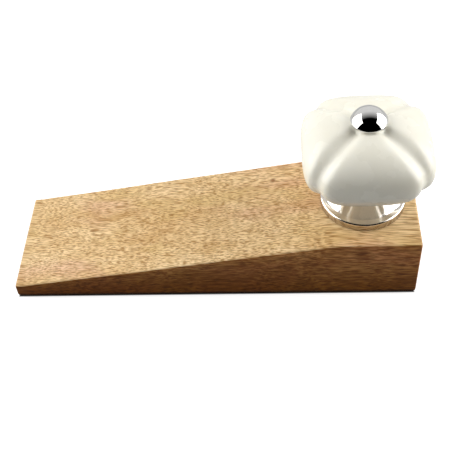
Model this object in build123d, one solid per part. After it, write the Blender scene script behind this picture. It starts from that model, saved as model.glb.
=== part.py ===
"""Wooden door wedge with a four-lobed glazed ceramic knob clamped through its thick end.

Millimetres. The origin is the centre of the block's underside. +X runs from the thin toe
towards the thick heel, +Y across the block, +Z up. Each function builds one separate piece
and the last section writes one STEP file for each of them.
"""
from build123d import *
from math import acos, asin, cos, degrees, exp, hypot, pi, sin, sqrt
import os

# --- Driving dimensions: wooden block ------------------------------------------------
BLOCK_LENGTH = 145.0
BLOCK_WIDTH = 44.0
HEEL_HEIGHT = 25.5
TOE_HEIGHT = 5.5
TOE_LAND = 2.5             # short level strip on top of the toe, before the ramp
HEEL_LAND = 28.3           # level top that the knob stands on
BROW_RADIUS = 60.0         # blend from ramp to heel land
TOE_BLEND_RADIUS = 12.0    # blend from toe land to ramp
CORNER_RADIUS = 1.2        # upright corners
EDGE_RADIUS = 0.7          # sanded long and end edges

# --- Driving dimensions: clamp stack -------------------------------------------------
KNOB_TO_HEEL = 18.8        # knob axis to the heel face
STUD_RADIUS = 2.5          # M5 stud
THREAD_GAP = 0.02          # radial gap left in the plain bores that stand for threads
STUD_HOLE_RADIUS = 2.9     # clearance hole in the wood
RECESS_RADIUS = 8.0        # nut recess under the block
RECESS_DEPTH = 13.0
WASHER_RADIUS = 7.5
WASHER_THICKNESS = 1.2
NUT_ACROSS_FLATS = 8.0
NUT_THICKNESS = 4.0
STUD_BELOW_NUT = 2.0
STUD_PLAY = 0.15           # radial play of the plates on the stud
STUD_CHAMFER = 0.5
NUT_CHAMFER = 0.7

# --- Driving dimensions: knob base ---------------------------------------------------
FLANGE_RADIUS = 15.0
FLANGE_EDGE = 2.9          # height of the upright rim
FLANGE_RING = 1.9          # width of the near-level ring inside the rim
NECK_RADIUS = 8.0
NECK_DROP = 2.6            # narrowest level below the top plate
BASE_TOP_RADIUS = 9.2
BASE_HEIGHT = 9.5
BASE_WALL = 1.1
RIM_ROUND = 0.7
FLANGE_RING_RISE = 0.25    # the ring climbs this much from rim to flare
FLARE_TANGENTS = ((-1, 0, 0.6), (0.35, 0, 1))
CUSHION_THICKNESS = 0.8    # rubber ring between base and ceramic
CUSHION_RADIUS = 8.4

# --- Driving dimensions: ceramic body ------------------------------------------------
KNOB_HALF_WIDTH = 21.8     # axis to the middle of a side
BELLY_HEIGHT = 24.4        # widest level above the block's heel land
CROWN_HEIGHT = 12.4        # widest level up to the cap's seat
CROWN_EXPONENT = 2.3       # superellipse exponents of the upright profile
BOWL_EXPONENT = 1.95
FOOT_RADIUS = 9.5          # flat foot on the cushion ring
CROWN_SEAT_RADIUS = 4.7    # flat seat under the cap washer
KNOB_BORE_RADIUS = 3.2
KNOB_TURN = 0.8            # degrees out of square with the block, as left by hand
SQUARE_AT_BELLY = 3.8      # plan superellipse exponent there; both seats are round (2)
CROWN_SQUARE_FADE = 1.8    # how fast the plan turns round towards each seat
BOWL_SQUARE_FADE = 1.0
GROOVE_DEPTH = 1.55
GROOVE_WIDTH = 2.85
GROOVE_HEAD_WIDTH = 1.8    # narrower beside each seat
GROOVE_TAPER = 9.0         # and full at this distance outside it
GROOVE_SHARPNESS = 2.2
GROOVE_FADE = 1.6          # the groove dies out over this width beside each seat

# --- Driving dimensions: cap ---------------------------------------------------------
CAP_RADIUS = 6.2
CAP_SKIRT = 0.6
CAP_DOME = 4.0             # rise of the spherical dome above the skirt
CAP_GAP = 0.2              # rim stands this far above the ceramic
CAP_WASHER_RADIUS = 4.4
CAP_WASHER_THICKNESS = 0.6
CAP_WASHER_PLAY = 0.2
CAP_THREAD_DEPTH = 2.8
CAP_BORE_SPARE = 0.3

# --- Levels and places worked out from them ------------------------------------------
HEEL_X = BLOCK_LENGTH / 2
TOE_X = -BLOCK_LENGTH / 2
KNOB_X = HEEL_X - KNOB_TO_HEEL
BASE_TOP_Z = HEEL_HEIGHT + BASE_HEIGHT
FOOT_Z = BASE_TOP_Z + CUSHION_THICKNESS
BELLY_Z = HEEL_HEIGHT + BELLY_HEIGHT
CROWN_Z = BELLY_Z + CROWN_HEIGHT
CAP_RECESS_Z = CROWN_Z + CAP_WASHER_THICKNESS
CAP_RIM_Z = CROWN_Z + CAP_GAP
STUD_TOP_Z = CAP_RECESS_Z + CAP_THREAD_DEPTH
WASHER_TOP_Z = RECESS_DEPTH
NUT_TOP_Z = WASHER_TOP_Z - WASHER_THICKNESS
STUD_BOTTOM_Z = NUT_TOP_Z - NUT_THICKNESS - STUD_BELOW_NUT

PROFILE_STEPS = 20         # points on each upright profile of the ceramic
LOBE_SECTIONS = 23         # upright profiles across one lobe


def on_axis(z):
    """Placement on the knob's axis at a height above the floor."""
    return Pos(KNOB_X, 0, z)


def disc(radius, height, bottom):
    """Solid cylinder on the knob's axis, standing on the level `bottom`."""
    return on_axis(bottom + height / 2) * Cylinder(radius, height)


def ring(outer, inner, height, bottom):
    return disc(outer, height, bottom) - disc(inner, height, bottom)


def turned(outline):
    """Revolve a closed (radius, height) outline about the knob's axis."""
    face = make_face(outline)
    return on_axis(0) * revolve(face, Axis.Z)


def at(radius, height):
    """Point of a turned outline: radius from the axis and height above the floor."""
    return (radius, 0, height)


def wedge_block():
    side = Polyline(
        (TOE_X, 0, 0),
        (HEEL_X, 0, 0),
        (HEEL_X, 0, HEEL_HEIGHT),
        (HEEL_X - HEEL_LAND, 0, HEEL_HEIGHT),
        (TOE_X + TOE_LAND, 0, TOE_HEIGHT),
        (TOE_X, 0, TOE_HEIGHT),
        close=True,
    )
    block = extrude(make_face(side), amount=BLOCK_WIDTH / 2, both=True)
    across = block.edges().filter_by(Axis.Y)
    brow = across.sort_by_distance((HEEL_X - HEEL_LAND, 0, HEEL_HEIGHT))[0]
    block = fillet(brow, BROW_RADIUS)
    across = block.edges().filter_by(Axis.Y)
    toe_bend = across.sort_by_distance((TOE_X + TOE_LAND, 0, TOE_HEIGHT))[0]
    block = fillet(toe_bend, TOE_BLEND_RADIUS)
    block = fillet(block.edges().filter_by(Axis.Z), CORNER_RADIUS)
    underside = block.faces().sort_by(Axis.Z)[0]
    block = fillet(underside.edges(), EDGE_RADIUS)
    top_faces = [f for f in block.faces() if f.normal_at().Z > 0.9]
    rims = [e for f in top_faces for e in f.edges() if is_outer_edge(e, top_faces)]
    block = fillet(rims, EDGE_RADIUS)
    block -= disc(STUD_HOLE_RADIUS, HEEL_HEIGHT, 0)
    block -= disc(RECESS_RADIUS, RECESS_DEPTH, 0)
    return block


def is_outer_edge(edge, faces):
    """True if only one of these faces owns the edge."""
    middle = edge @ 0.5
    return sum(f.distance_to(middle) < 1e-4 for f in faces) == 1


def rosette_body(wall):
    """Outside form of the rosette, drawn in by a wall thickness."""
    rim = FLANGE_RADIUS - wall
    rim_z = HEEL_HEIGHT + FLANGE_EDGE - wall
    flare = FLANGE_RADIUS - FLANGE_RING - wall / 2
    flare_z = rim_z + FLANGE_RING_RISE
    neck = NECK_RADIUS - wall
    neck_z = BASE_TOP_Z - NECK_DROP
    top = BASE_TOP_RADIUS - wall
    top_z = BASE_TOP_Z - wall
    outline = [
        Line(at(0, HEEL_HEIGHT), at(rim, HEEL_HEIGHT)),
        Line(at(rim, HEEL_HEIGHT), at(rim, rim_z)),
        Line(at(rim, rim_z), at(flare, flare_z)),
        Spline(at(flare, flare_z), at(neck, neck_z), at(top, top_z), tangents=FLARE_TANGENTS),
        Line(at(top, top_z), at(0, top_z)),
        Line(at(0, top_z), at(0, HEEL_HEIGHT)),
    ]
    return turned(outline)


def base_rosette():
    """Pressed shell: upright rim, near-level ring, hollow flare, and the plate under the knob."""
    shell = rosette_body(0)
    circles = shell.edges().filter_by(GeomType.CIRCLE)
    rim_edge = circles.sort_by(lambda e: abs(e.center().Z - HEEL_HEIGHT - FLANGE_EDGE))[0]
    shell = fillet(rim_edge, RIM_ROUND)
    shell -= rosette_body(BASE_WALL)
    return shell - disc(STUD_RADIUS + STUD_PLAY, BASE_HEIGHT, HEEL_HEIGHT)


def cushion_ring():
    return ring(CUSHION_RADIUS, KNOB_BORE_RADIUS, CUSHION_THICKNESS, BASE_TOP_Z)


def smooth_step(value, low, high):
    share = min(1.0, max(0.0, (value - low) / (high - low)))
    return share * share * (3 - 2 * share)


def end_angle(radius, exponent):
    """Superellipse parameter at which the upright profile has come in to this radius."""
    return acos((radius / KNOB_HALF_WIDTH) ** (exponent / 2))


def ceramic_point(share, turn):
    """Point (radius, height) of the ceramic's skin.

    `share` runs from -1 at the foot, through 0 at the belly, to 1 at the crown seat, and
    `turn` is the angle in radians from the middle of a lobe.
    """
    rising = share >= 0
    exponent = CROWN_EXPONENT if rising else BOWL_EXPONENT
    seat = CROWN_SEAT_RADIUS if rising else FOOT_RADIUS
    seat_drop = CROWN_HEIGHT if rising else BELLY_Z - FOOT_Z
    last_angle = end_angle(seat, exponent)
    reach = seat_drop / sin(last_angle) ** (2 / exponent)
    angle = abs(share) * last_angle
    across = cos(angle) ** (2 / exponent)
    up = sin(angle) ** (2 / exponent)
    # A plan that is nearly square at the belly and round at both seats.
    fade = CROWN_SQUARE_FADE if rising else BOWL_SQUARE_FADE
    square = 2 + (SQUARE_AT_BELLY - 2) * (1 - share * share) ** fade
    plan = (abs(cos(turn)) ** square + abs(sin(turn)) ** square) ** (-1 / square)
    radius = KNOB_HALF_WIDTH * across * plan
    # The groove presses the skin in along its normal, beside the lobe's two edges.
    beside = radius * sin(pi / 4 - abs(turn))
    full = smooth_step(radius, seat, seat + GROOVE_FADE)
    opened = smooth_step(radius, seat, seat + GROOVE_TAPER)
    width = GROOVE_HEAD_WIDTH + (GROOVE_WIDTH - GROOVE_HEAD_WIDTH) * opened
    depth = GROOVE_DEPTH * full * exp(-((beside / width) ** GROOVE_SHARPNESS))
    normal_out = across ** (exponent - 1) / KNOB_HALF_WIDTH
    normal_up = up ** (exponent - 1) / reach
    length = hypot(normal_out, normal_up)
    radius -= depth * normal_out / length
    height = reach * up - depth * normal_up / length
    return radius, BELLY_Z + (height if rising else -height)


def lobe_section(turn):
    """Upright face of the ceramic at one angle, from the bore out to the skin."""
    steps = range(-PROFILE_STEPS, PROFILE_STEPS + 1)
    skin = [ceramic_point(k / PROFILE_STEPS, turn) for k in steps]
    inside = KNOB_BORE_RADIUS / 2
    foot, crown = skin[0], skin[-1]
    outline = [
        Spline([at(*p) for p in skin]),
        Line(at(*crown), at(inside, crown[1])),
        Line(at(inside, crown[1]), at(inside, foot[1])),
        Line(at(inside, foot[1]), at(*foot)),
    ]
    return Rot(0, 0, degrees(turn)) * make_face(outline)


def ceramic_knob():
    """Four lobes, each lofted across its upright sections, joined at the grooves."""
    shares = [2 * k / (LOBE_SECTIONS - 1) - 1 for k in range(LOBE_SECTIONS)]
    # The sine crowds the sections towards the grooves.
    lobe = loft([lobe_section(pi / 4 * sin(pi / 2 * share)) for share in shares])
    body = lobe
    for quarter in range(1, 4):
        body += Rot(0, 0, 90 * quarter) * lobe
    body = on_axis(0) * Rot(0, 0, KNOB_TURN) * body
    return body - disc(KNOB_BORE_RADIUS, 2 * BELLY_HEIGHT, HEEL_HEIGHT)


def cap_washer():
    return ring(CAP_WASHER_RADIUS, STUD_RADIUS + STUD_PLAY, CAP_WASHER_THICKNESS, CROWN_Z)


def dome_cap():
    """Domed cap nut: short skirt, dome, washer recess and a blind threaded bore."""
    shoulder_z = CAP_RIM_Z + CAP_SKIRT
    top_z = shoulder_z + CAP_DOME
    sphere = (CAP_RADIUS**2 + CAP_DOME**2) / (2 * CAP_DOME)
    halfway = asin(CAP_RADIUS / sphere) / 2
    middle = at(sphere * sin(halfway), top_z - sphere * (1 - cos(halfway)))
    outline = [
        Line(at(0, CAP_RIM_Z), at(CAP_RADIUS, CAP_RIM_Z)),
        Line(at(CAP_RADIUS, CAP_RIM_Z), at(CAP_RADIUS, shoulder_z)),
        ThreePointArc(at(CAP_RADIUS, shoulder_z), middle, at(0, top_z)),
        Line(at(0, top_z), at(0, CAP_RIM_Z)),
    ]
    cap = turned(outline)
    cap -= disc(CAP_WASHER_RADIUS + CAP_WASHER_PLAY, CAP_RECESS_Z - CAP_RIM_Z, CAP_RIM_Z)
    bore_depth = CAP_THREAD_DEPTH + CAP_BORE_SPARE
    return cap - disc(STUD_RADIUS + THREAD_GAP, bore_depth, CAP_RECESS_Z)


def clamp_stud():
    stud = disc(STUD_RADIUS, STUD_TOP_Z - STUD_BOTTOM_Z, STUD_BOTTOM_Z)
    ends = stud.edges().filter_by(GeomType.CIRCLE)
    return chamfer(ends, STUD_CHAMFER)


def flat_washer():
    bottom = WASHER_TOP_Z - WASHER_THICKNESS
    return ring(WASHER_RADIUS, STUD_RADIUS + STUD_PLAY, WASHER_THICKNESS, bottom)


def nut_envelope(corner_radius):
    """Cylinder around the nut's corners with a shallow cone at each end."""
    envelope = Cylinder(corner_radius, NUT_THICKNESS)
    rims = envelope.edges().filter_by(GeomType.CIRCLE)
    return chamfer(rims, NUT_CHAMFER / 2, NUT_CHAMFER)


def hex_nut():
    bottom = NUT_TOP_Z - NUT_THICKNESS
    corner_radius = NUT_ACROSS_FLATS / sqrt(3)
    hexagon = extrude(RegularPolygon(corner_radius, 6), NUT_THICKNESS)
    nut = on_axis(bottom) * hexagon
    # A cone at each end trims the corners, as on a pressed nut.
    trim = on_axis(bottom + NUT_THICKNESS / 2) * nut_envelope(corner_radius)
    return (nut & trim) - disc(STUD_RADIUS + THREAD_GAP, NUT_THICKNESS, bottom)


PARTS = {
    "wedge_block": wedge_block,
    "base_rosette": base_rosette,
    "cushion_ring": cushion_ring,
    "ceramic_knob": ceramic_knob,
    "cap_washer": cap_washer,
    "dome_cap": dome_cap,
    "clamp_stud": clamp_stud,
    "flat_washer": flat_washer,
    "hex_nut": hex_nut,
}

os.makedirs("parts", exist_ok=True)
for name, build in PARTS.items():
    piece = build()
    piece.label = name
    export_step(piece, f"parts/{name}.step")
    print(name, round(piece.volume, 1), piece.is_valid)
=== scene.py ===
"""Looks of a wooden door wedge with a glazed ceramic knob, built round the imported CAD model.

Metres, in the frame of the CAD: +X from the toe to the heel, +Y across, +Z up, floor at zero.
"""
from math import acos, asin, cos, exp, hypot, pi, radians, sin, sqrt, tan

import bmesh
import bpy
from mathutils import Matrix, Vector, noise


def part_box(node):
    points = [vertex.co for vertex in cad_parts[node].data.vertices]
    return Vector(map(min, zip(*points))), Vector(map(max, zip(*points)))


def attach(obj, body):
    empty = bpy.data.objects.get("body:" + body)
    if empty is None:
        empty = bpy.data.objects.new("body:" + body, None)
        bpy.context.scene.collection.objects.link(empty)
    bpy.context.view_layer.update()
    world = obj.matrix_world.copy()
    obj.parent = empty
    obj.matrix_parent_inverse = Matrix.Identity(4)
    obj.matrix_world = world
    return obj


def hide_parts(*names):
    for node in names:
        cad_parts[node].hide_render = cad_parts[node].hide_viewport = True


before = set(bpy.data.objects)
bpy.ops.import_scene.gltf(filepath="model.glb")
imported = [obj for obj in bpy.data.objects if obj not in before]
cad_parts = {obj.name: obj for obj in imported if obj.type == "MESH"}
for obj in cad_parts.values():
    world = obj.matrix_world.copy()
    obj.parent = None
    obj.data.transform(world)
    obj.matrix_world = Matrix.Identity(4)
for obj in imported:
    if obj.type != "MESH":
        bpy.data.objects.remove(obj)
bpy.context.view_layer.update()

MM = 0.001

# --- Places read from the frame -------------------------------------------------------
block_low, block_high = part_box("wedge_block")
stud_low, stud_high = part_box("clamp_stud")
rosette_low, rosette_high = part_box("base_rosette")
knob_low, knob_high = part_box("ceramic_knob")
cap_low, cap_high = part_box("dome_cap")
cap_washer_low, cap_washer_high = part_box("cap_washer")
cushion_low, cushion_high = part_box("cushion_ring")
washer_low, washer_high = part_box("flat_washer")
nut_low, nut_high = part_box("hex_nut")

AXIS = (stud_low + stud_high) / 2
AXIS.z = 0.0
HEEL_Z = block_high.z
STUD_RADIUS = (stud_high.x - stud_low.x) / 2

# --- Sizes that the boxes don't give --------------------------------------------------
TOE_HEIGHT = 5.5 * MM
TOE_LAND = 2.5 * MM
HEEL_LAND = 28.3 * MM
BROW_RADIUS = 60 * MM
TOE_BLEND_RADIUS = 12 * MM
EDGE_RADIUS = 0.7 * MM
RECESS_RADIUS = 8 * MM
STUD_HOLE_RADIUS = 2.9 * MM
RIM_HEIGHT = 2.9 * MM
RIM_ROUND = 0.7 * MM
RING_WIDTH = 1.9 * MM
RING_RISE = 0.25 * MM
NECK_RADIUS = 8.0 * MM
NECK_DROP = 2.6 * MM
PLATE_RADIUS = 9.2 * MM
SHELL_WALL = 1.1 * MM
STUD_PLAY = 0.15 * MM
THREAD_PITCH = 0.8 * MM
THREAD_DEPTH = 0.45 * MM
THREAD_GAP = 0.02 * MM
CAP_SKIRT = 0.6 * MM

# Ceramic: superellipse profile and plan, pressed in along the two diagonals. Each groove is
# narrow beside the seats and widens over GROOVE_TAPER; its depth fades in over GROOVE_FADE.
KNOB_HALF_WIDTH = 21.8 * MM
BELLY_ABOVE_HEEL = 24.4 * MM
CROWN_EXPONENT = 2.3
BOWL_EXPONENT = 1.95
FOOT_RADIUS = 9.5 * MM
CROWN_SEAT_RADIUS = 4.7 * MM
KNOB_BORE_RADIUS = 3.2 * MM
KNOB_TURN = radians(0.8)
SQUARE_AT_BELLY = 3.8
CROWN_SQUARE_FADE = 1.8
BOWL_SQUARE_FADE = 1.0
GROOVE_DEPTH = 1.55 * MM
GROOVE_WIDTH = 2.85 * MM
GROOVE_HEAD_WIDTH = 1.8 * MM
GROOVE_TAPER = 9 * MM
GROOVE_SHARPNESS = 2.2
GROOVE_FADE = 1.6 * MM

# Wood: the fibres run askew, and two pin knots show near the far edge.
GRAIN_TURN = radians(7)
GRAIN_SWAYS = (((30, 45, 45), 4 * MM), ((110, 160, 160), 0.6 * MM))    # noise scale, reach
FIBRE_SCALE = (105, 3100, 3100)
STREAK_SCALE = (150, 1100, 1100)
# Pores: millimetres long, millimetres thick, share of cells left bare, strength.
PORE_SIZES = ((5.0, 0.46, 0.25, 0.78), (3.0, 0.34, 0.40, 0.62))
PORE_RELIEF = 0.10 * MM
FIBRE_RELIEF = 0.05 * MM
# Painted shade on the sides and ends: a deeper brown, darker low down, with darker grain streaks.
SIDE_SHADE_LOW = (0.34, 0.175, 0.04, 1)
SIDE_SHADE_HIGH = (0.80, 0.55, 0.36, 1)
SIDE_STREAK_IN_SHADE = (0.20, 0.09, 0.02, 1)
# Pin knots: along, across, radius, strength.
PIN_KNOTS = ((22 * MM, 14 * MM, 1.5 * MM, 0.8), (-26 * MM, 19 * MM, 1.8 * MM, 0.45))
SANDED_OFF = 0.09 * MM
SLOW_WANDER = 0.10 * MM
FINE_WANDER = 0.035 * MM

# Metal: the low rim of the base has a painted reflection of the shaded brown wood round it, darkest
# as painted shade where it meets the wood.
PAINTED_RIM_REFLECTION = (0.16, 0.10, 0.06)

# Light: levels are radiance, 1 being white.
SWEEP_LEVEL = 0.78
SWEEP_START = -0.10         # part of a direction that points to the back, where the sweep starts
SWEEP_FULL = 0.62
FLOOR_HALF_WIDTH = 4.0
FLOOR_GLOW = 0.74
FLOOR_BOUNCE = 0.55
# Painted contact shadow on the floor, a thin dark line round the block.
CONTACT_SHADOW_COLOUR = (0.02, 0.015, 0.01, 1)
CONTACT_SHADOW_DARK = -0.1 * MM    # the floor is darkest where the distance to the block is this
CONTACT_SHADOW_CLEAR = 0.65 * MM   # and pale from this distance on


# --- Mesh helpers ---------------------------------------------------------------------
def mesh_of(name, points, faces):
    mesh = bpy.data.meshes.new(name)
    mesh.from_pydata([tuple(p) for p in points], [], faces)
    return mesh


def face_outwards(mesh, join_within=None):
    """Turn the faces outwards, after joining the points closer than join_within if given."""
    shape = bmesh.new()
    shape.from_mesh(mesh)
    if join_within is not None:
        bmesh.ops.remove_doubles(shape, verts=shape.verts, dist=join_within)
    bmesh.ops.recalc_face_normals(shape, faces=shape.faces)
    shape.to_mesh(mesh)
    shape.free()


def make_piece(name, points, faces, body, material, replaced, sharp):
    """Mesh object in the row frame that stands for one CAD node and rides on its body."""
    return finish_piece(name, mesh_of(name, points, faces), body, material, replaced, sharp)


def finish_piece(name, mesh, body, material, replaced, sharp):
    """Piece of a ready mesh, shaded smooth up to a sharp angle in degrees."""
    face_outwards(mesh, join_within=0.0005 * MM)
    mesh.shade_smooth()
    mesh.set_sharp_from_angle(angle=radians(sharp))
    piece = bpy.data.objects.new(name, mesh)
    bpy.context.scene.collection.objects.link(piece)
    mesh.materials.clear()
    mesh.materials.append(material)
    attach(piece, body)
    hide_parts(replaced)
    return piece


def loop_faces(rows, columns, closed_rows=True):
    """Quads of a grid of points whose columns wrap round, and whose rows may wrap too."""
    faces = []
    for row in range(rows if closed_rows else rows - 1):
        below = (row + 1) % rows
        for column in range(columns):
            beside = (column + 1) % columns
            faces.append((row * columns + column, row * columns + beside,
                          below * columns + beside, below * columns + column))
    return faces


def turned(outline, segments):
    """Points and faces of a closed (radius, height) outline turned about the knob's axis."""
    points = []
    for radius, height in outline:
        for step in range(segments):
            angle = 2 * pi * step / segments
            points.append(AXIS + Vector((radius * cos(angle), radius * sin(angle), height)))
    return points, loop_faces(len(outline), segments)


def arc(centre, radius, start, end, steps):
    """Points of an arc in the (radius, height) plane; angles in degrees."""
    angles = [radians(start + (end - start) * k / steps) for k in range(steps + 1)]
    return [(centre[0] + radius * cos(a), centre[1] + radius * sin(a)) for a in angles]


def hermite(start, end, leave, arrive, steps):
    """Cubic from start to end with these end tangents, without its first point."""
    points = []
    for k in range(1, steps + 1):
        t = k / steps
        h0 = 2 * t**3 - 3 * t**2 + 1
        h1 = t**3 - 2 * t**2 + t
        h2 = 3 * t**2 - 2 * t**3
        h3 = t**3 - t**2
        points.append(tuple(h0 * start[i] + h1 * leave[i] + h2 * end[i] + h3 * arrive[i]
                            for i in range(2)))
    return points


# --- Shader helpers -------------------------------------------------------------------
class Shader:
    """One material's node tree, with short calls for the nodes used here."""

    def __init__(self, name):
        self.material = bpy.data.materials.new(name)
        self.material.use_nodes = True
        self.tree = self.material.node_tree
        self.surface = self.tree.nodes["Principled BSDF"]

    @classmethod
    def over(cls, tree):
        """Short calls over a node tree that has no Principled surface, such as a world's."""
        shader = cls.__new__(cls)
        shader.tree = tree
        return shader

    def set(self, **values):
        """Set or link the surface's sockets; underscores stand for spaces."""
        for name, value in values.items():
            self.feed(self.surface.inputs[name.replace("_", " ")], value)

    def feed(self, socket, value):
        if isinstance(value, bpy.types.NodeSocket):
            self.tree.links.new(value, socket)
        else:
            socket.default_value = value

    def node(self, kind, settings=None, **inputs):
        made = self.tree.nodes.new("ShaderNode" + kind)
        for name, value in (settings or {}).items():
            setattr(made, name, value)
        for name, value in inputs.items():
            self.feed(made.inputs[name.replace("_", " ")], value)
        return made

    def place(self, scale=(1, 1, 1), shift=(0, 0, 0), source=None):
        """Coordinates in metres in the row frame, shifted and scaled."""
        start = source or self.node("TexCoord").outputs["Object"]
        mapped = self.node("Mapping", Vector=start, Scale=scale, Location=shift)
        return mapped.outputs["Vector"]

    def noise(self, place, scale=1.0, detail=2.0, roughness=0.5):
        made = self.node("TexNoise", Vector=place, Scale=scale, Detail=detail,
                         Roughness=roughness)
        return made.outputs["Fac"]

    def cells(self, place, randomness=1.0):
        """Outputs of a Voronoi pattern."""
        made = self.node("TexVoronoi", Vector=place, Scale=1.0, Randomness=randomness)
        return made.outputs

    def math(self, operation, first, second=0.0):
        made = self.node("Math", {"operation": operation})
        self.feed(made.inputs[0], first)
        self.feed(made.inputs[1], second)
        return made.outputs[0]

    def spread(self, value, low, high, to_low=0.0, to_high=1.0, ease="SMOOTHSTEP"):
        made = self.node("MapRange", {"interpolation_type": ease}, Value=value)
        for name, number in (("From Min", low), ("From Max", high),
                             ("To Min", to_low), ("To Max", to_high)):
            self.feed(made.inputs[name], number)
        return made.outputs[0]

    def ramp(self, value, *stops):
        """Colour ramp; each stop is (position, (r, g, b))."""
        made = self.node("ValToRGB", Fac=value)
        elements = made.color_ramp.elements
        while len(elements) < len(stops):
            elements.new(0.5)
        for element, (position, colour) in zip(elements, stops):
            element.position = position
            element.color = (*colour, 1)
        return made.outputs["Color"]

    def mix(self, share, first, second, blend="MIX"):
        made = self.node("Mix", {"data_type": "RGBA", "blend_type": blend})
        self.feed(made.inputs[0], share)
        self.feed(made.inputs[6], first)
        self.feed(made.inputs[7], second)
        return made.outputs[2]

    def add_vectors(self, first, second):
        made = self.node("VectorMath", {"operation": "ADD"})
        self.feed(made.inputs[0], first)
        self.feed(made.inputs[1], second)
        return made.outputs[0]

    def bump(self, height, distance, strength, normal=None):
        made = self.node("Bump", Height=height, Distance=distance, Strength=strength)
        if normal is not None:
            self.feed(made.inputs["Normal"], normal)
        return made.outputs["Normal"]


def srgb(red, green, blue):
    """Linear colour of an 8-bit sRGB one."""
    def linear(value):
        value /= 255
        return value / 12.92 if value <= 0.04045 else ((value + 0.055) / 1.055) ** 2.4
    return linear(red), linear(green), linear(blue)


# --- Materials ------------------------------------------------------------------------
def waxed_wood():
    """Pale golden hardwood: colour patches, wavy fibres, short dark pores and painted shade on the
    sides and ends.
    """
    s = Shader("waxed_wood")
    start = s.node("TexCoord")
    turned_grain = s.node("Mapping", Vector=start.outputs["Object"], Rotation=(0, 0, GRAIN_TURN))
    grain = turned_grain.outputs["Vector"]
    # The fibres wander sideways, slowly along the block and faster in a fine ripple.
    for scale, reach in GRAIN_SWAYS:
        wander = s.node("TexNoise", Vector=s.place(scale, source=grain), Scale=1.0, Detail=1.0)
        sway = s.node("Mapping", Vector=wander.outputs["Color"], Scale=(0, reach, reach))
        grain = s.add_vectors(grain, sway.outputs["Vector"])

    patches = s.noise(s.place((26, 90, 90), (0.3, 0.1, 0), grain), 1.0, 3.0, 0.6)
    colour = s.ramp(patches,
                    (0.32, srgb(218, 179, 122)), (0.44, srgb(232, 198, 144)),
                    (0.56, srgb(241, 210, 158)), (0.70, srgb(246, 217, 169)))
    blush = s.noise(s.place((20, 60, 60), (3.1, 1.7, 0.4), grain), 1.0, 2.0)
    colour = s.mix(s.spread(blush, 0.50, 0.66, 0.0, 0.55), colour, (*srgb(224, 178, 146), 1))
    olive = s.noise(s.place((24, 70, 70), (7.1, 4.7, 2.4), grain), 1.0, 2.0)
    colour = s.mix(s.spread(olive, 0.52, 0.68, 0.0, 0.45), colour, (*srgb(216, 184, 116), 1))

    fibres = s.noise(s.place(FIBRE_SCALE, source=grain), 1.0, 1.5, 0.5)
    colour = s.mix(s.spread(fibres, 0.34, 0.60, 0.84, 0.0), colour, (*srgb(156, 106, 38), 1))
    pores, solid = wood_pores(s, grain)
    colour = s.mix(pores, colour, (*srgb(122, 80, 30), 1))
    colour = s.mix(wood_knots(s), colour, (*srgb(138, 88, 48), 1))

    # The sides and ends carry painted shade: a deeper brown with grain streaks, darker towards the
    # floor, and a painted dark line of shade along the bottom edge.
    parts = s.node("SeparateXYZ", Vector=start.outputs["Normal"]).outputs
    side = s.spread(s.math("ABSOLUTE", parts["Z"]), 0.35, 0.80, 1.0, 0.0)
    height = s.node("SeparateXYZ", Vector=start.outputs["Object"]).outputs["Z"]
    depth = s.mix(s.spread(height, 0.0, HEEL_Z), SIDE_SHADE_LOW, SIDE_SHADE_HIGH)
    streaks = s.noise(s.place(STREAK_SCALE, (1.3, 0.2, 5.1), grain), 1.0, 3.0, 0.6)
    depth = s.mix(s.spread(streaks, 0.36, 0.62, 0.65, 0.0), depth, SIDE_STREAK_IN_SHADE)
    colour = s.mix(side, colour, s.mix(1.0, colour, depth, "MULTIPLY"))
    # Painted shade: a near-black line along the bottom edge of the sides and ends.
    foot = s.math("MULTIPLY", side, s.spread(height, 0.4 * MM, 1.8 * MM, 0.75, 0.0))
    colour = s.mix(foot, colour, (*srgb(30, 18, 10), 1))

    normal = s.bump(solid, PORE_RELIEF, 0.5)
    normal = s.bump(fibres, FIBRE_RELIEF, 0.5, normal)
    s.set(Base_Color=colour, Normal=normal, IOR=1.45)
    s.set(Specular_IOR_Level=s.spread(side, 0.0, 1.0, 0.35, 0.15))
    s.set(Roughness=s.spread(fibres, 0.2, 0.8, 0.48, 0.62))
    return s.material


def wood_pores(s, grain):
    """Mask of short dark dashes in two sizes, and its reverse as a height."""
    total = None
    for length, thick, bare_share, strength in PORE_SIZES:
        place = s.place((1000 / length, 1000 / thick, 1000 / thick),
                        (length, thick, bare_share), grain)
        cells = s.cells(place, 0.95)
        lot = s.node("SeparateColor", Color=cells["Color"]).outputs[0]
        weight = s.spread(lot, bare_share, 1.0, 0.0, strength)
        dash = s.spread(cells["Distance"], 0.10, 0.42, 1.0, 0.0)
        dash = s.math("MULTIPLY", dash, weight)
        total = dash if total is None else s.math("MAXIMUM", total, dash)
    return total, s.math("SUBTRACT", 1.0, total)


def wood_knots(s):
    """Mask of the pin knots on the far half of the ramp."""
    total = None
    for along, across, radius, strength in PIN_KNOTS:
        reach = s.node("VectorMath", {"operation": "LENGTH"})
        s.feed(reach.inputs[0], s.place((1, 1, 0), (-along, -across, 0)))
        mask = s.spread(reach.outputs["Value"], 0.2 * radius, radius, strength, 0.0)
        total = mask if total is None else s.math("MAXIMUM", total, mask)
    return total


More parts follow.
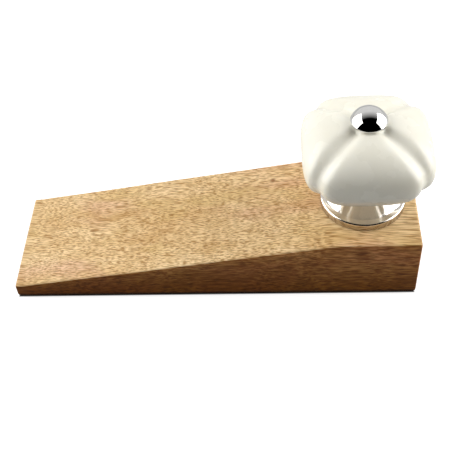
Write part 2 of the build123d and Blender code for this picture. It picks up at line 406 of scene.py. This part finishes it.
def white_glaze():
    """Gloss glaze over slip-cast ceramic, a shade warmer where it pools."""
    s = Shader("white_glaze")
    cloud = s.noise(s.place(), 90.0, 3.0)
    colour = s.ramp(cloud, (0.3, srgb(237, 233, 217)), (0.7, srgb(243, 240, 226)))
    specks = s.cells(s.place((420, 420, 420)))["Distance"]
    colour = s.mix(s.spread(specks, 0.03, 0.06, 0.25, 0.0), colour, (*srgb(190, 178, 156), 1))
    orange_peel = s.noise(s.place(), 700.0, 2.0)
    s.set(Base_Color=colour, Normal=s.bump(orange_peel, 0.00002, 0.15))
    s.set(Roughness=s.spread(cloud, 0.3, 0.7, 0.22, 0.30), IOR=1.5)
    s.set(Subsurface_Weight=0.12, Subsurface_Radius=(1.0, 0.9, 0.7), Subsurface_Scale=0.0015)
    return s.material


def polished_metal(name, tint, roughness, scratch_scale, painted_reflection_below=None):
    """Bright plated metal with faint polishing marks, and below a height, if one is given, a
    painted reflection of shaded brown wood with painted shade at the foot.
    """
    s = Shader(name)
    marks = s.noise(s.place((scratch_scale,) * 3), 1.0, 4.0, 0.65)
    colour = s.ramp(marks, (0.3, tuple(c * 0.93 for c in tint)), (0.7, tint))
    if painted_reflection_below is not None:
        # Painted reflection of the shaded brown wood on the rim below the given height, and painted
        # shade in the half millimetre above the wood.
        height = s.node("SeparateXYZ", Vector=s.place()).outputs["Z"]
        foot = s.spread(height, HEEL_Z, HEEL_Z + 0.5 * MM, 0.75, 0.0)
        rim_reflection_share = s.spread(height, painted_reflection_below - 0.4 * MM, painted_reflection_below, 0.42, 0.0)
        colour = s.mix(s.math("MAXIMUM", foot, rim_reflection_share), colour, (*PAINTED_RIM_REFLECTION, 1))
    s.set(Base_Color=colour, Metallic=1.0, Normal=s.bump(marks, 0.000004, 0.2))
    s.set(Roughness=s.spread(marks, 0.3, 0.75, roughness, roughness * 1.8))
    return s.material


def black_rubber():
    s = Shader("black_rubber")
    grit = s.noise(s.place(), 2600.0, 3.0)
    s.set(Base_Color=s.ramp(grit, (0.35, (0.012, 0.012, 0.012)), (0.7, (0.03, 0.03, 0.03))))
    s.set(Roughness=s.spread(grit, 0.3, 0.7, 0.6, 0.8), Normal=s.bump(grit, 0.00003, 0.5))
    return s.material


def natural_nylon():
    s = Shader("natural_nylon")
    haze = s.noise(s.place(), 900.0, 2.0)
    s.set(Base_Color=s.ramp(haze, (0.3, srgb(205, 200, 186)), (0.7, srgb(222, 218, 205))))
    s.set(Roughness=0.45, Subsurface_Weight=0.2, Subsurface_Scale=0.001)
    s.set(Normal=s.bump(haze, 0.00002, 0.4))
    return s.material


# --- Pieces ---------------------------------------------------------------------------
def ramp_height(x):
    """Height of the block's top at x: toe land, blend, ramp, brow and heel land."""
    toe_x = block_low.x + TOE_LAND
    brow_x = block_high.x - HEEL_LAND
    slope = (HEEL_Z - TOE_HEIGHT) / (brow_x - toe_x)
    tilt = acos(1 / hypot(1, slope))
    tangent = tan(0.5 * tilt)
    lead = cos(tilt)
    toe_reach = TOE_BLEND_RADIUS * tangent
    brow_reach = BROW_RADIUS * tangent
    if x <= toe_x - toe_reach:
        return TOE_HEIGHT
    if x < toe_x + toe_reach * lead:
        offset = x - (toe_x - toe_reach)
        return TOE_HEIGHT + TOE_BLEND_RADIUS - sqrt(TOE_BLEND_RADIUS**2 - offset**2)
    if x < brow_x - brow_reach * lead:
        return TOE_HEIGHT + slope * (x - toe_x)
    if x < brow_x + brow_reach:
        offset = x - (brow_x + brow_reach)
        return HEEL_Z - BROW_RADIUS + sqrt(BROW_RADIUS**2 - offset**2)
    return HEEL_Z


def block_section(x, inset, top_steps=44, side_steps=14, corner_steps=4):
    """Rounded rectangle of (y, z) points round the block at x, drawn in by inset."""
    half = block_high.y - inset
    low = inset
    high = ramp_height(x) - inset
    radius = EDGE_RADIUS
    corners = [(half - radius, low + radius, -90), (half - radius, high - radius, 0),
               (-half + radius, high - radius, 90), (-half + radius, low + radius, 180)]
    section = []
    for index, (y, z, start) in enumerate(corners):
        bend = arc((y, z), radius, start, start + 90, corner_steps)
        section += bend
        next_y, next_z, next_start = corners[(index + 1) % 4]
        following = arc((next_y, next_z), radius, next_start, next_start, 1)[0]
        steps = side_steps if index % 2 == 0 else top_steps
        last = bend[-1]
        for k in range(1, steps):
            t = k / steps
            section.append((last[0] + (following[0] - last[0]) * t,
                            last[1] + (following[1] - last[1]) * t))
    return section


def hand_sanded(point):
    """Point moved a little, as a hand-sanded surface wanders and its edges wear."""
    slow = noise.noise(point * 45) * SLOW_WANDER
    fine = noise.noise(point * 230 + Vector((5, 9, 2))) * FINE_WANDER
    middle = Vector((point.x, 0, HEEL_Z * 0.35))
    outward = Vector((0, point.y - middle.y, point.z - middle.z)).normalized()
    return point + outward * (slow + fine - SANDED_OFF)


def block_stations():
    """(x, inset) of each section: end face, rounded edge, long middle, and the same mirrored."""
    round_steps = 5
    body_steps = 150
    edge = [(0.0, EDGE_RADIUS + 0.4 * MM), (0.0, EDGE_RADIUS + 0.1 * MM)]
    for k in range(round_steps + 1):
        angle = pi / 2 * k / round_steps
        edge.append((EDGE_RADIUS * (1 - cos(angle)), EDGE_RADIUS * (1 - sin(angle))))
    span = block_high.x - block_low.x - 2 * EDGE_RADIUS
    toe = [(block_low.x + offset, inset) for offset, inset in edge]
    middle = [(block_low.x + EDGE_RADIUS + span * k / body_steps, 0.0)
              for k in range(1, body_steps)]
    heel = [(block_high.x - offset, inset) for offset, inset in reversed(edge)]
    return toe + middle + heel


def drill(mesh, radius, low, high):
    """The mesh with a round hole on the knob's axis between two heights."""
    segments = 96
    points, _ = turned([(radius, low), (radius, high)], segments)
    faces = loop_faces(2, segments, closed_rows=False)
    faces += [tuple(range(segments)), tuple(range(segments, 2 * segments))]
    cutter_mesh = mesh_of("drill", points, faces)
    face_outwards(cutter_mesh)
    cutter = bpy.data.objects.new("drill", cutter_mesh)
    target = bpy.data.objects.new("drilled", mesh)
    for made in (cutter, target):
        bpy.context.scene.collection.objects.link(made)
    cut = target.modifiers.new("drill", "BOOLEAN")
    cut.operation = "DIFFERENCE"
    cut.solver = "EXACT"
    cut.object = cutter
    graph = bpy.context.evaluated_depsgraph_get()
    drilled = bpy.data.meshes.new_from_object(target.evaluated_get(graph))
    bpy.data.objects.remove(target)
    bpy.data.objects.remove(cutter)
    return drilled


def wood_block(material):
    """Sanded wedge with its nut recess and stud hole."""
    rows = block_stations()
    points = []
    for x, inset in rows:
        points += [hand_sanded(Vector((x, y, z))) for y, z in block_section(x, inset)]
    columns = len(points) // len(rows)
    faces = loop_faces(len(rows), columns, closed_rows=False)
    faces.append(tuple(range(columns)))
    faces.append(tuple(range(len(points) - columns, len(points))))
    mesh = mesh_of("wood_block", points, faces)
    face_outwards(mesh)
    mesh = drill(mesh, RECESS_RADIUS, -1 * MM, washer_high.z)
    mesh = drill(mesh, STUD_HOLE_RADIUS, 1 * MM, HEEL_Z + 1 * MM)
    mesh.name = "wood_block"
    return finish_piece("wood_block", mesh, "wedge", material, "wedge_block", 40)


def chrome_rosette(material):
    """Pressed shell: upright rim with a rounded edge, near-level ring, flare and top plate."""
    low, high = rosette_low.z, rosette_high.z
    rim = (rosette_high.x - rosette_low.x) / 2

    def side(wall):
        edge_radius = RIM_ROUND if wall == 0 else 0.1 * MM
        outer = rim - wall
        shoulder = low + RIM_HEIGHT - wall
        ring = (rim - RING_WIDTH - wall / 2, shoulder + RING_RISE)
        neck = (NECK_RADIUS - wall, high - NECK_DROP)
        plate = (PLATE_RADIUS - wall, high - wall)
        points = [(outer, low)]
        points += arc((outer - edge_radius, shoulder - edge_radius), edge_radius, 0, 84, 10)
        points.append(ring)
        points += hermite(ring, neck, (-6.6 * MM, 4.1 * MM), (-0.3 * MM, 2.1 * MM), 30)
        points += hermite(neck, plate, (0.3 * MM, 2.4 * MM), (2.6 * MM, 1.6 * MM), 14)
        return points

    outside = side(0)
    outside[-1] = (outside[-1][0], high - 0.25 * MM)
    outside.append((PLATE_RADIUS - 0.25 * MM, high))
    hole = STUD_RADIUS + STUD_PLAY
    outline = outside + [(hole, high), (hole, high - SHELL_WALL)] + side(SHELL_WALL)[::-1]
    points, faces = turned(outline, 192)
    return make_piece("chrome_rosette", points, faces, "wedge", material,
                      "base_rosette", 30)


def soft_ring(name, low, high, bore, material, replaced):
    """Flat ring whose outer edge is rounded."""
    round_steps = 12
    outer = (high.x - low.x) / 2
    thick = high.z - low.z
    outline = [(bore, low.z), (bore, high.z), (outer - thick / 2, high.z)]
    for k in range(1, round_steps):
        angle = pi / 2 - pi * k / round_steps
        outline.append((outer - thick / 2 + thick / 2 * cos(angle),
                        (low.z + high.z) / 2 + thick / 2 * sin(angle)))
    outline.append((outer - thick / 2, low.z))
    points, faces = turned(outline, 128)
    return make_piece(name, points, faces, "wedge", material, replaced, 50)


def smooth_step(value, low, high):
    """Share of the way from low to high, eased at both ends."""
    share = min(1.0, max(0.0, (value - low) / (high - low)))
    return share * share * (3 - 2 * share)


def ceramic_point(share, turn):
    """(radius, height) of the ceramic's skin.

    share runs from -1 at the foot, through 0 at the belly, to 1 at the crown seat; turn is
    the angle from the middle of a lobe.
    """
    belly_z = HEEL_Z + BELLY_ABOVE_HEEL
    rising = share >= 0
    exponent = CROWN_EXPONENT if rising else BOWL_EXPONENT
    seat = CROWN_SEAT_RADIUS if rising else FOOT_RADIUS
    seat_drop = knob_high.z - belly_z if rising else belly_z - knob_low.z
    last_angle = acos((seat / KNOB_HALF_WIDTH) ** (exponent / 2))
    reach = seat_drop / sin(last_angle) ** (2 / exponent)
    angle = abs(share) * last_angle
    across = cos(angle) ** (2 / exponent)
    up = sin(angle) ** (2 / exponent)
    fade = CROWN_SQUARE_FADE if rising else BOWL_SQUARE_FADE
    square = 2 + (SQUARE_AT_BELLY - 2) * (1 - share * share) ** fade
    plan = (abs(cos(turn)) ** square + abs(sin(turn)) ** square) ** (-1 / square)
    radius = KNOB_HALF_WIDTH * across * plan
    beside = radius * sin(pi / 4 - abs(turn))
    full = smooth_step(radius, seat, seat + GROOVE_FADE)
    opened = smooth_step(radius, seat, seat + GROOVE_TAPER)
    width = GROOVE_HEAD_WIDTH + (GROOVE_WIDTH - GROOVE_HEAD_WIDTH) * opened
    depth = GROOVE_DEPTH * full * exp(-((beside / width) ** GROOVE_SHARPNESS))
    normal_out = across ** (exponent - 1) / KNOB_HALF_WIDTH
    normal_up = up ** (exponent - 1) / reach
    length = hypot(normal_out, normal_up)
    radius -= depth * normal_out / length
    height = reach * up - depth * normal_up / length
    return radius, belly_z + (height if rising else -height)


def glazed_knob(material):
    """Four-lobed ceramic with a straight bore, a little uneven as cast."""
    profile_steps = 80
    lobe_steps = 60
    turns = []
    for lobe in range(4):
        for k in range(lobe_steps):
            # The sine crowds the points towards the grooves.
            turns.append((lobe, pi / 4 * sin(pi / 2 * (2 * k / lobe_steps - 1))))
    points = []
    for row in range(-profile_steps, profile_steps + 1):
        for lobe, turn in turns:
            radius, height = ceramic_point(row / profile_steps, turn)
            angle = turn + lobe * pi / 2 + KNOB_TURN
            out = Vector((cos(angle), sin(angle), 0))
            cast = noise.noise(Vector((out.x, out.y, height * 40)) * 1.3) * 0.05 * MM
            cast *= smooth_step(radius, FOOT_RADIUS, FOOT_RADIUS + 4 * MM)
            points.append(AXIS + out * (radius + cast) + Vector((0, 0, height)))
    rows = 2 * profile_steps + 1
    seat_round = 0.3 * MM
    bore = [(KNOB_BORE_RADIUS + seat_round, knob_high.z),
            (KNOB_BORE_RADIUS, knob_high.z - seat_round),
            (KNOB_BORE_RADIUS, knob_low.z + seat_round),
            (KNOB_BORE_RADIUS + seat_round, knob_low.z)]
    for radius, height in bore:
        for lobe, turn in turns:
            angle = turn + lobe * pi / 2 + KNOB_TURN
            out = Vector((cos(angle), sin(angle), 0))
            points.append(AXIS + out * radius + Vector((0, 0, height)))
    faces = loop_faces(rows + len(bore), len(turns))
    return make_piece("glazed_knob", points, faces, "knob", material,
                      "ceramic_knob", 40)


def chrome_cap(material):
    """Domed nut: skirt, dome, washer recess and blind bore."""
    radius = (cap_high.x - cap_low.x) / 2
    low, high = cap_low.z, cap_high.z
    bore_end = stud_high.z + 0.3 * MM
    skirt = low + CAP_SKIRT
    edge = 0.12 * MM
    outline = [(radius - edge, low), (radius - 0.3 * edge, low + 0.3 * edge), (radius, low + edge)]
    rise = high - skirt
    sphere = (radius * radius + rise * rise) / (2 * rise)
    rim_angle = asin(radius / sphere)
    dome_steps = 40
    for k in range(dome_steps + 1):
        angle = rim_angle * (1 - k / dome_steps)
        outline.append((sphere * sin(angle), high - sphere * (1 - cos(angle))))
    recess = (cap_washer_high.x - cap_washer_low.x) / 2 + 0.2 * MM
    bore = STUD_RADIUS + THREAD_GAP
    outline += [(0, bore_end), (bore, bore_end), (bore, cap_washer_high.z),
                (recess, cap_washer_high.z), (recess, low)]
    points, faces = turned(outline, 128)
    return make_piece("chrome_cap", points, faces, "wedge", material,
                      "dome_cap", 40)


def threaded_stud(material):
    """M5 rod with its thread cut as one helix, chamfered at both ends."""
    segments = 32
    rows_per_turn = 10
    chamfer = 0.5 * MM
    length = stud_high.z - stud_low.z
    rows = int(length / THREAD_PITCH * rows_per_turn)
    points = []
    for row in range(rows + 1):
        height = length * row / rows
        from_end = min(height, length - height, chamfer)
        for step in range(segments):
            phase = (height / THREAD_PITCH - step / segments) % 1
            flank = abs(2 * phase - 1)
            # Clipped at both ends, so that crest and root are flat.
            cut = THREAD_DEPTH * min(1.0, max(0.0, 1.3 * flank - 0.15))
            radius = min(STUD_RADIUS - cut, STUD_RADIUS - chamfer + from_end)
            angle = 2 * pi * step / segments
            points.append(AXIS + Vector((radius * cos(angle), radius * sin(angle),
                                         stud_low.z + height)))
    faces = loop_faces(rows + 1, segments, closed_rows=False)
    faces.append(tuple(range(segments)))
    faces.append(tuple(range(len(points) - segments, len(points))))
    return make_piece("threaded_stud", points, faces, "wedge", material,
                      "clamp_stud", 50)


def steel_washer(material):
    """Stamped washer whose lower outer edge is rolled."""
    outer = (washer_high.x - washer_low.x) / 2
    bore = STUD_RADIUS + STUD_PLAY
    low, high = washer_low.z, washer_high.z
    roll = 0.3 * MM
    edge = 0.1 * MM
    outline = [(bore, high), (bore, low + edge), (bore + edge, low)]
    outline += arc((outer - roll, low + roll), roll, -90, 0, 6)
    outline += [(outer, high - edge), (outer - edge, high)]
    points, faces = turned(outline, 96)
    return make_piece("steel_washer", points, faces, "wedge", material,
                      "flat_washer", 40)


def steel_nut(material):
    """Hexagon nut whose corners are trimmed by a shallow cone at each face."""
    flat = (nut_high.y - nut_low.y) / 2
    corner = flat / cos(pi / 6)
    low, high = nut_low.z, nut_high.z
    face = flat * 0.97
    cone = 0.45 * MM
    steps = 6
    rows = []
    for k in range(steps + 1):
        share = k / steps
        rows.append((face + (corner - face) * share, low + cone * share))
    rows += [(radius, low + high - height) for radius, height in reversed(rows)]
    bore = STUD_RADIUS + THREAD_GAP
    mouth = 0.35 * MM
    rows += [(bore + mouth, high), (bore, high - mouth), (bore, low + mouth), (bore + mouth, low)]
    segments = 96
    points = []
    for limit, height in rows:
        for step in range(segments):
            angle = 2 * pi * step / segments
            inside_corner = (angle + pi / 6) % (pi / 3) - pi / 6
            radius = min(limit, flat / cos(inside_corner))
            turn = angle + pi / 6
            points.append(AXIS + Vector((radius * cos(turn + pi / 3), radius * sin(turn + pi / 3),
                                         height)))
    faces = loop_faces(len(rows), segments)
    return make_piece("steel_nut", points, faces, "wedge", material,
                      "hex_nut", 20)


# --- Stage, light and camera ----------------------------------------------------------
def pale_floor():
    """Wide pale floor that the camera sees nearly white, and whose bounce dies out in front.

    It has a painted contact shadow, a thin dark line where it meets the block.
    """
    half = FLOOR_HALF_WIDTH
    corners = [(-half, -half, 0), (half, -half, 0), (half, half, 0), (-half, half, 0)]
    mesh = mesh_of("floor", corners, [(0, 1, 2, 3)])
    floor = bpy.data.objects.new("floor", mesh)
    floor.location.z = block_low.z - 0.05 * MM
    bpy.context.scene.collection.objects.link(floor)
    s = Shader("pale_floor")
    seen = s.node("LightPath").outputs["Is Camera Ray"]
    mottle = s.noise(s.place(), 3.0, 2.0)
    pale = s.ramp(mottle, (0.3, (0.58, 0.58, 0.57)), (0.7, (0.62, 0.62, 0.61)))
    here = s.node("SeparateXYZ", Vector=s.place())
    past_end, past_side = (
        s.math("SUBTRACT", s.math("ABSOLUTE", here.outputs[axis]), reach)
        for axis, reach in (("X", block_high.x - EDGE_RADIUS), ("Y", block_high.y)))
    # Painted contact shadow: the floor turns dark in a thin band round the block.
    clear = s.spread(s.math("MAXIMUM", past_end, past_side), CONTACT_SHADOW_DARK, CONTACT_SHADOW_CLEAR)
    bounce = s.spread(here.outputs["Y"], -0.25, -0.05, 0.02, FLOOR_BOUNCE)
    grey = s.node("CombineColor", Red=bounce, Green=bounce, Blue=bounce).outputs[0]
    s.set(Base_Color=s.mix(seen, grey, s.mix(clear, CONTACT_SHADOW_COLOUR, pale)))
    s.set(Roughness=0.9, Specular_IOR_Level=0.1)
    glow = s.math("MULTIPLY", s.math("MULTIPLY", seen, clear), FLOOR_GLOW)
    s.set(Emission_Color=(1, 1, 1, 1), Emission_Strength=glow)
    mesh.materials.append(s.material)


def studio_world():
    """A grey sweep behind the object that fades out overhead and is dark in front.

    Where the camera looks past the floor it sees plain white.
    """
    world = bpy.data.worlds.new("studio")
    bpy.context.scene.world = world
    world.use_nodes = True
    s = Shader.over(world.node_tree)
    way = s.node("TexCoord").outputs["Generated"]
    back = s.node("SeparateXYZ", Vector=way).outputs["Y"]
    sweep = s.spread(back, SWEEP_START, SWEEP_FULL, 0.0, SWEEP_LEVEL, "LINEAR")
    seen = s.node("LightPath").outputs["Is Camera Ray"]
    background = world.node_tree.nodes["Background"]
    s.feed(background.inputs["Color"], (1, 1, 1, 1))
    s.feed(background.inputs["Strength"], s.math("MAXIMUM", seen, sweep))


def soft_box(name, bearing, height_angle, distance, size, radiance):
    """Rectangular studio light that faces the knob; bearing is from -Y towards +X."""
    light = bpy.data.lights.new(name, "AREA")
    light.shape = "RECTANGLE"
    light.size, light.size_y = size
    light.energy = radiance * pi * size[0] * size[1]
    made = bpy.data.objects.new(name, light)
    target = AXIS + Vector((0, 0, HEEL_Z))
    level = distance * cos(height_angle)
    made.location = target + Vector((level * sin(bearing), -level * cos(bearing),
                                     distance * sin(height_angle)))
    made.rotation_euler = (target - made.location).to_track_quat("-Z", "Y").to_euler()
    bpy.context.scene.collection.objects.link(made)


def camera_at(place, pitch, yaw, roll, lens):
    """Camera looking down by pitch and turned by yaw from +Y, then rolled about its view."""
    forward = Vector((sin(yaw) * cos(pitch), cos(yaw) * cos(pitch), -sin(pitch)))
    right = forward.cross(Vector((0, 0, 1))).normalized()
    up = right.cross(forward)
    tilted_right = right * cos(roll) + up * sin(roll)
    tilted_up = up * cos(roll) - right * sin(roll)
    turn = Matrix((tilted_right, tilted_up, -forward)).transposed()
    data = bpy.data.cameras.new("camera")
    data.lens = lens
    data.sensor_width = 36
    data.clip_start = 0.01
    camera = bpy.data.objects.new("camera", data)
    camera.matrix_world = Matrix.Translation(place) @ turn.to_4x4()
    bpy.context.scene.collection.objects.link(camera)
    bpy.context.scene.camera = camera


# --- Build ----------------------------------------------------------------------------
chrome = polished_metal("bright_chrome", (0.81, 0.80, 0.78), roughness=0.035, scratch_scale=260)
steel = polished_metal("plated_steel", (0.60, 0.59, 0.55), roughness=0.26, scratch_scale=900)

wood_block(waxed_wood())
chrome_rosette(polished_metal("rosette_chrome", (0.80, 0.75, 0.68), roughness=0.06,
                              scratch_scale=420, painted_reflection_below=HEEL_Z + RIM_HEIGHT - RIM_ROUND))
soft_ring("rubber_ring", cushion_low, cushion_high, KNOB_BORE_RADIUS,
          black_rubber(), "cushion_ring")
glazed_knob(white_glaze())
soft_ring("nylon_washer", cap_washer_low, cap_washer_high, STUD_RADIUS + STUD_PLAY,
          natural_nylon(), "cap_washer")
chrome_cap(chrome)
threaded_stud(steel)
steel_washer(steel)
steel_nut(steel)

pale_floor()
studio_world()
soft_box("left_box", bearing=radians(-97), height_angle=radians(25), distance=1.2,
         size=(1.34, 1.22), radiance=3.7)
soft_box("right_box", bearing=radians(94), height_angle=radians(24), distance=0.8,
         size=(0.90, 0.81), radiance=4.0)
camera_at(Vector((24.27, -214.88, 255.0)) * MM, pitch=radians(48.298), yaw=radians(-5.363),
          roll=radians(-4.937), lens=70.255)
bpy.context.scene.view_settings.view_transform = "Standard"
